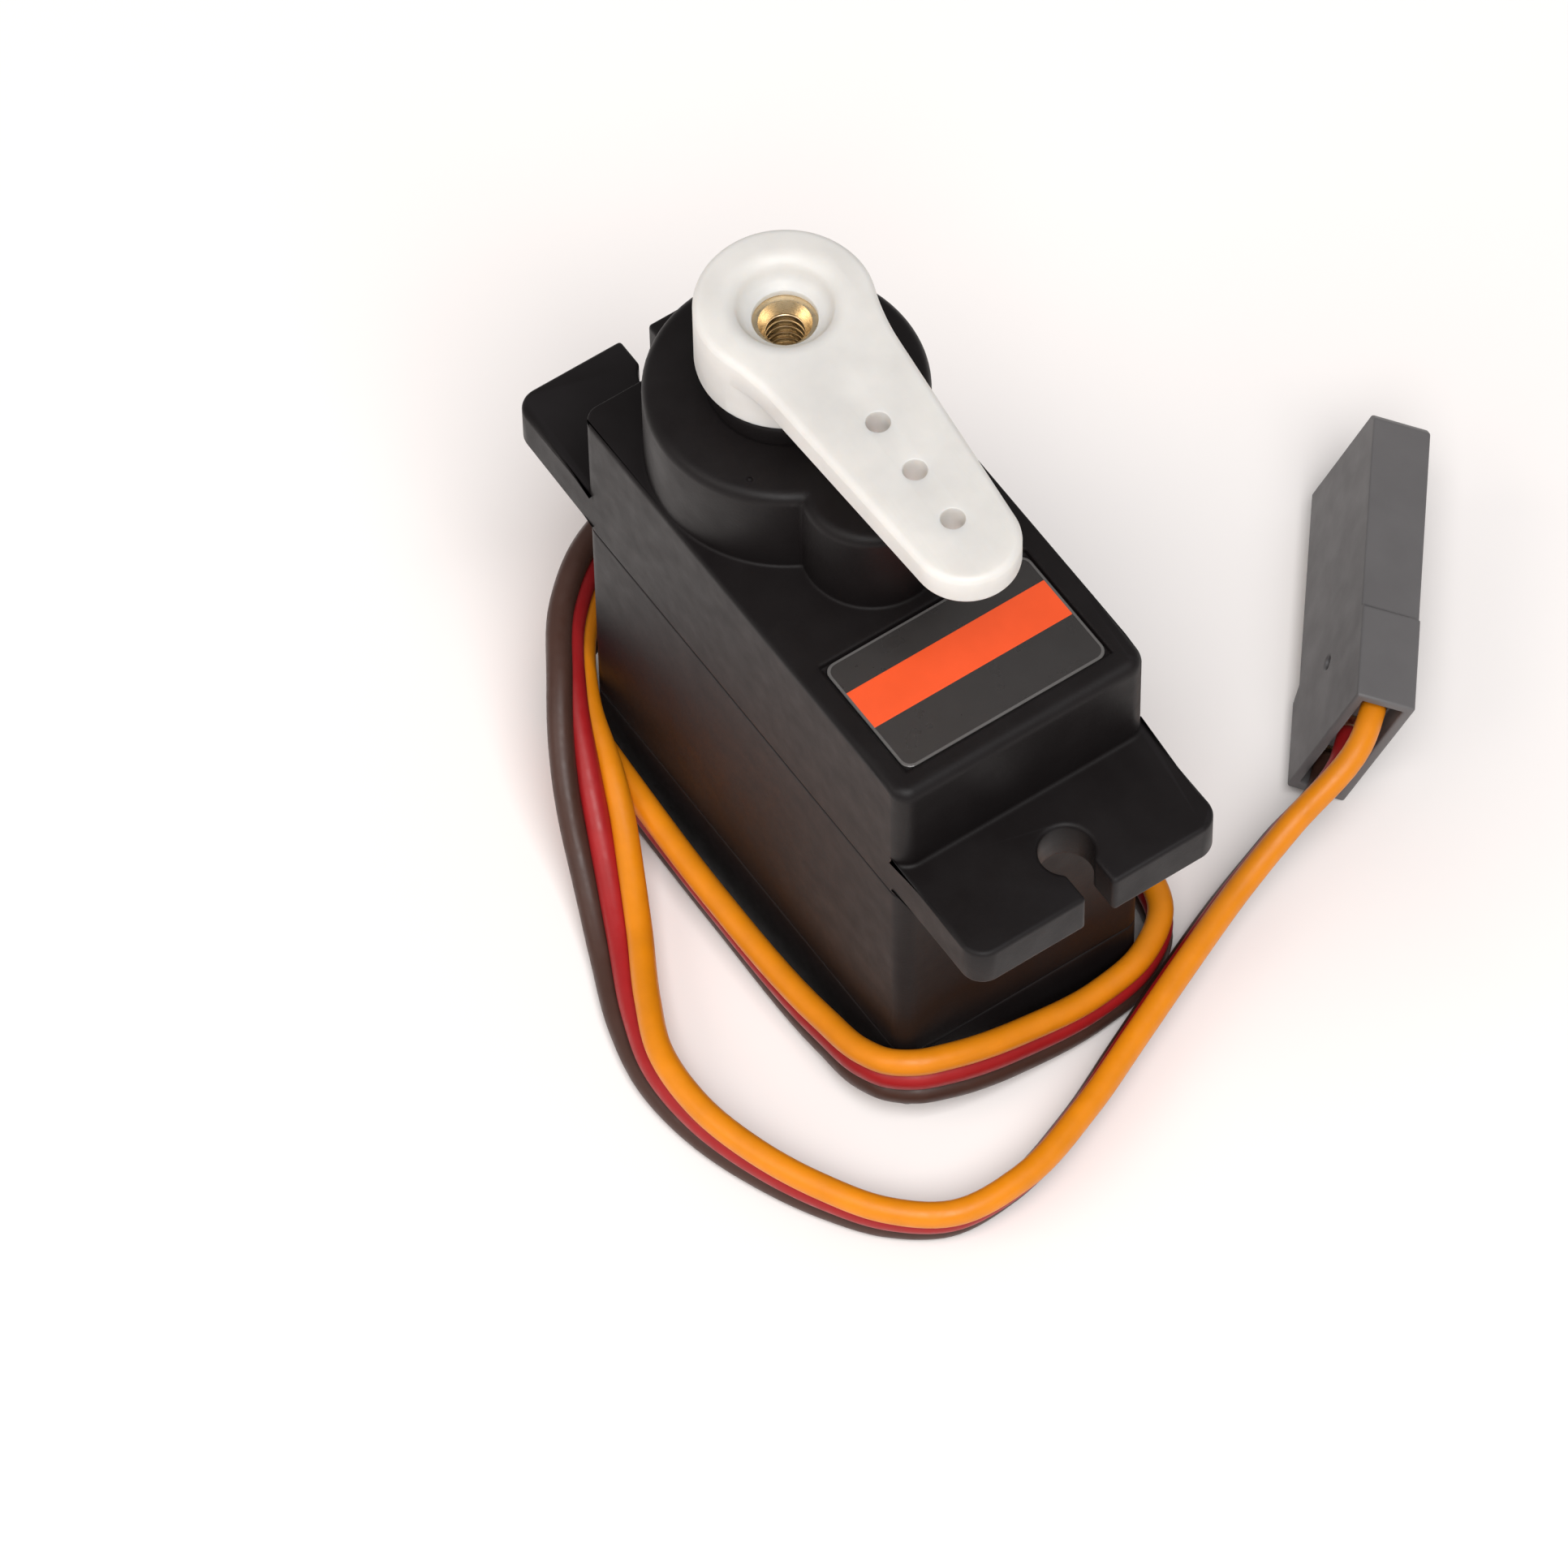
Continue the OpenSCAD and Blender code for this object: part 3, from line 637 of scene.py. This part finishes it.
def join_rings(bm, rings):
    for near, far in zip(rings, rings[1:]):
        for k in range(len(near)):
            n = (k + 1) % len(near)
            bm.faces.new((near[k], near[n], far[n], far[k]))


def add_cap(bm, outer, holes, upward):
    """A flat face between a ring and the rings of its holes."""
    loops = [outer] + holes
    flat = [v for loop in loops for v in loop]
    for a, b, c in tessellate_polygon([[v.co for v in loop] for loop in loops]):
        corners = [flat[a], flat[b], flat[c]]
        spread = (corners[1].co - corners[0].co).cross(corners[2].co - corners[0].co)
        if spread.z * upward < 0:
            corners.reverse()
        bm.faces.new(corners)


def rounding(radius, steps=ROUND_STEPS):
    """Offsets of a quarter round: pairs of how far inwards and how far from the face."""
    turns = [math.pi / 2 * k / steps for k in range(steps + 1)]
    return [(radius * (1 - math.sin(t)), radius * (1 - math.cos(t))) for t in turns]


def hub_turns(turn):
    """Angles around the hub, anticlockwise: those under the arm first, then the outline's own."""
    under = [turn * k / UNDER_STEPS for k in range(1 - UNDER_STEPS, UNDER_STEPS)]
    free = [turn + (math.pi - turn) * k / HUB_STEPS for k in range(HUB_STEPS + 1)]
    return under + free + [-angle for angle in free[-2::-1]]


def make_horn():
    bm = bmesh.new()
    outline, on_hub, turn = arm_outline()
    turns = hub_turns(turn)
    count = len(outline)

    def lathe_ring(radius, z):
        spots = [(radius * math.cos(angle), radius * math.sin(angle)) for angle in turns]
        return add_ring(bm, spots, [z] * len(turns))

    def hole_ring(x, radius, z):
        return add_ring(bm, circle(x, 0, radius, HOLE_SIDES), [z] * HOLE_SIDES)

    rings = []
    for inwards, up in rounding(1.0):
        lower = [
            0 if hub else min(UNDER_ROUND, 0.8 * max(0, math.hypot(*spot) - HUB_R))
            for spot, hub in zip(outline, on_hub)
        ]
        points = inset(outline, [inwards * r for r in lower])
        rings.append(add_ring(bm, points, [ARM_UNDERSIDE + up * r for r in lower]))
    for inwards, down in reversed(rounding(TOP_ROUND)):
        rings.append(add_ring(bm, inset(outline, [inwards] * count), [HORN_TOP - down] * count))
    join_rings(bm, rings)

    hub = [lathe_ring(HUB_R, ARM_UNDERSIDE)]
    for inwards, up in reversed(rounding(FOOT_ROUND)):
        hub.append(lathe_ring(HUB_R - inwards, HUB_BOTTOM + up))
    for inwards, up in rounding(MOUTH_ROUND):
        hub.append(lathe_ring(SOCKET_R + inwards, HUB_BOTTOM + up))
    hub.append(lathe_ring(SOCKET_R, WEB_LOW))
    hub.append(lathe_ring(WEB_R, WEB_LOW))
    for inwards, down in reversed(rounding(WEB_ROUND)):
        hub.append(lathe_ring(WEB_R + inwards, WEB_HIGH - down))
    foot = Vector((WEB_R, WEB_HIGH))
    corner = Vector((RECESS_R, HORN_TOP))
    brim = foot.lerp(corner, BRIM_START)
    for k in range(1, CONE_STEPS + 1):
        spot = foot.lerp(brim, k / CONE_STEPS)
        bulge = CONE_BULGE * math.sin(math.pi * k / CONE_STEPS)
        hub.append(lathe_ring(spot.x + bulge, spot.y - bulge))
    for spot in curve(brim, corner, corner + Vector((BRIM_WIDTH, 0)), BRIM_STEPS):
        hub.append(lathe_ring(spot.x, spot.y))
    for near, far in zip(hub, hub[1:]):
        for k in range(len(near)):
            n = (k + 1) % len(near)
            bm.faces.new((near[k], far[k], far[n], near[n]))

    top_holes, low_holes = [hub[-1]], []
    for x in ARM_HOLES:
        tube = []
        for inwards, down in rounding(HOLE_ROUND):
            tube.append(hole_ring(x, ARM_HOLE_R + inwards, HORN_TOP - down))
        for inwards, up in reversed(rounding(HOLE_ROUND)):
            tube.append(hole_ring(x, ARM_HOLE_R + inwards, ARM_UNDERSIDE + up))
        join_rings(bm, tube)
        top_holes.append(tube[0])
        low_holes.append(tube[-1])
    add_cap(bm, rings[-1], top_holes, 1)
    arm_rim = [vert for vert, hub_vert in zip(rings[0], on_hub) if not hub_vert]
    under_arc = hub[0][:2 * UNDER_STEPS][::-1] + hub[0][-1:]
    add_cap(bm, arm_rim + under_arc, low_holes, -1)
    bmesh.ops.remove_doubles(bm, verts=bm.verts, dist=WELD)
    bmesh.ops.dissolve_degenerate(bm, edges=bm.edges, dist=WELD)
    bmesh.ops.rotate(bm, verts=bm.verts, matrix=Matrix.Rotation(HORN_TURN, 3, "Z"))
    axis = frame["record"]["behaviour"]["joints"][0]["pos_m"]
    bmesh.ops.translate(bm, verts=bm.verts, vec=(axis[0], axis[1], 0))
    for face in bm.faces:
        face.smooth = True
    bm.normal_update()
    for edge in bm.edges:
        faces_down = {face.normal.z < FLAT_DOWN for face in edge.link_faces}
        edge.smooth = edge.calc_face_angle(0) < HORN_SHARP and len(faces_down) == 1
    mesh = bpy.data.meshes.new("horn_arm")
    bm.to_mesh(mesh)
    bm.free()
    horn = add_piece("horn_arm", mesh, "horn_plastic", "output")
    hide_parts("servo_horn")
    horn.modifiers.new("flat_faces", "WEIGHTED_NORMAL").keep_sharp = True


make_horn()


# ---- gate mark on the gear boss -------------------------------------------------------------

GATE_MARK = (-2.16 * MM, -3.90 * MM)
GATE_R = 0.13 * MM
GATE_HEIGHT = 0.091 * MM
GATE_FOOT = 27.68 * MM
GATE_SIDES = 20
GATE_STEPS = 6


def make_gate_mark():
    """The small bead that the mould's gate leaves on top of the gear boss."""
    bm = bmesh.new()
    rings = []
    for k in range(GATE_STEPS):
        angle = math.pi / 2 * k / GATE_STEPS
        spots = circle(*GATE_MARK, GATE_R * math.cos(angle), GATE_SIDES)
        height = GATE_FOOT + GATE_HEIGHT * math.sin(angle)
        rings.append(add_ring(bm, spots, [height] * GATE_SIDES))
    join_rings(bm, rings)
    bm.faces.new(rings[-1])
    bm.faces.new(rings[0][::-1])
    for face in bm.faces:
        face.smooth = True
    mesh = bpy.data.meshes.new("gate_mark")
    bm.to_mesh(mesh)
    bm.free()
    add_piece("gate_mark", mesh, "case_plastic", "case")


make_gate_mark()


# ---- label ----------------------------------------------------------------------------------

LABEL_CORNER = 0.5 * MM
BORDER_WIDTH = 0.1 * MM
BORDER_CORNER = 0.42 * MM
BAND_CORNER = 0.04 * MM
FILM_RIM = 0.02 * MM
INK_DEPTH = 0.03 * MM
BORDER_RISE = 0.02 * MM
BAND_DROP = 0.005 * MM


def rounded_outline(low, high, radius, steps=6):
    """Corners of a rectangle with round corners, as (x, y), anticlockwise."""
    outline = []
    corners = ((high.x, high.y, 0), (low.x, high.y, 90), (low.x, low.y, 180), (high.x, low.y, 270))
    for x, y, start in corners:
        cx = x - radius if x == high.x else x + radius
        cy = y - radius if y == high.y else y + radius
        for k in range(steps + 1):
            angle = math.radians(start + 90 * k / steps)
            outline.append((cx + radius * math.cos(angle), cy + radius * math.sin(angle)))
    return outline


def film(name, outline, bottom, top, slot, hole=None):
    """A thin printed film of that outline, with an optional hole, and a bevelled top rim."""
    bm = bmesh.new()
    cx = sum(p[0] for p in outline) / len(outline)
    cy = sum(p[1] for p in outline) / len(outline)

    def ring(points, z, shrink):
        found = []
        for x, y in points:
            dx, dy = x - cx, y - cy
            found.append(bm.verts.new((
                x - math.copysign(min(abs(dx), shrink), dx),
                y - math.copysign(min(abs(dy), shrink), dy),
                z,
            )))
        return found

    rings = [ring(outline, bottom, 0), ring(outline, top - FILM_RIM, 0), ring(outline, top, FILM_RIM)]
    if hole:
        rings += [ring(hole, top, -FILM_RIM), ring(hole, top - FILM_RIM, 0), ring(hole, bottom, 0)]
        join_rings(bm, rings + rings[:1])
    else:
        join_rings(bm, rings)
        bm.faces.new(rings[-1])
        bm.faces.new(rings[0][::-1])
    mesh = bpy.data.meshes.new(name)
    bm.to_mesh(mesh)
    bm.free()
    return add_piece(name, mesh, slot, "case")


def make_label():
    low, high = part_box("label_plate")
    outline = rounded_outline(low, high, LABEL_CORNER)
    ground = film("label_film", outline, low.z, high.z - BORDER_RISE, "label")
    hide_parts("label_plate")
    inner_low = low + Vector((1, 1, 0)) * BORDER_WIDTH
    inner_high = high - Vector((1, 1, 0)) * BORDER_WIDTH
    inner_outline = rounded_outline(inner_low, inner_high, BORDER_CORNER)
    border = film("label_border", outline, high.z - INK_DEPTH, high.z, "label", hole=inner_outline)
    paint(border, "label_grey")
    band_low, band_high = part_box("label_stripe")
    band_outline = rounded_outline(
        Vector((band_low.x, inner_low.y, 0)), Vector((band_high.x, inner_high.y, 0)), BAND_CORNER
    )
    band = film("label_band", band_outline, high.z - INK_DEPTH, high.z - BAND_DROP, "label_orange")
    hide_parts("label_stripe")


make_label()


# ---- cord centrelines, worked out and left unused -------------------------------------------

for wire_colour, wire_side in WIRE_PLACES.items():
    middle_line = wire_line(wire_side)


# ---- room and light -------------------------------------------------------------------------

FLOOR_SIZE = 3


def make_floor():
    bpy.ops.mesh.primitive_plane_add(size=FLOOR_SIZE, location=(0, 0, 0))
    floor = bpy.context.object
    floor.name = "floor"
    # painted reflected light: the floor's warm tint stands in for warm light bounced off the orange
    # wire, and shows where the floor is shaded
    finish = Finish("floor", (0.95, 0.905, 0.885), 0.8)
    finish.vary_rough(finish.noise(40 * MM, 2), 0.04)
    floor.data.materials.append(finish.material)


def make_light(name, place, size, power, colour=(1, 1, 1)):
    lamp = bpy.data.lights.new(name, "AREA")
    lamp.shape = "SQUARE"
    lamp.size = size
    lamp.energy = power
    lamp.color = colour
    holder = bpy.data.objects.new(name, lamp)
    bpy.context.scene.collection.objects.link(holder)
    holder.location = place
    holder.rotation_mode = "QUATERNION"
    holder.rotation_quaternion = (AIM - Vector(place)).to_track_quat("-Z", "Y")


def make_world(strength):
    world = bpy.data.worlds.new("studio")
    world.use_nodes = True
    ground = world.node_tree.nodes["Background"]
    ground.inputs["Color"].default_value = (1, 1, 1, 1)
    ground.inputs["Strength"].default_value = strength
    bpy.context.scene.world = world


make_floor()
make_world(strength=0.28)
make_light("key", (0.70, -0.30, 1.24), size=0.9, power=20.5)
make_light("fill", (-0.1, -1.1, 0.9), size=0.9, power=6.0, colour=(1, 0.94, 0.90))
bpy.context.scene.view_settings.view_transform = "Standard"
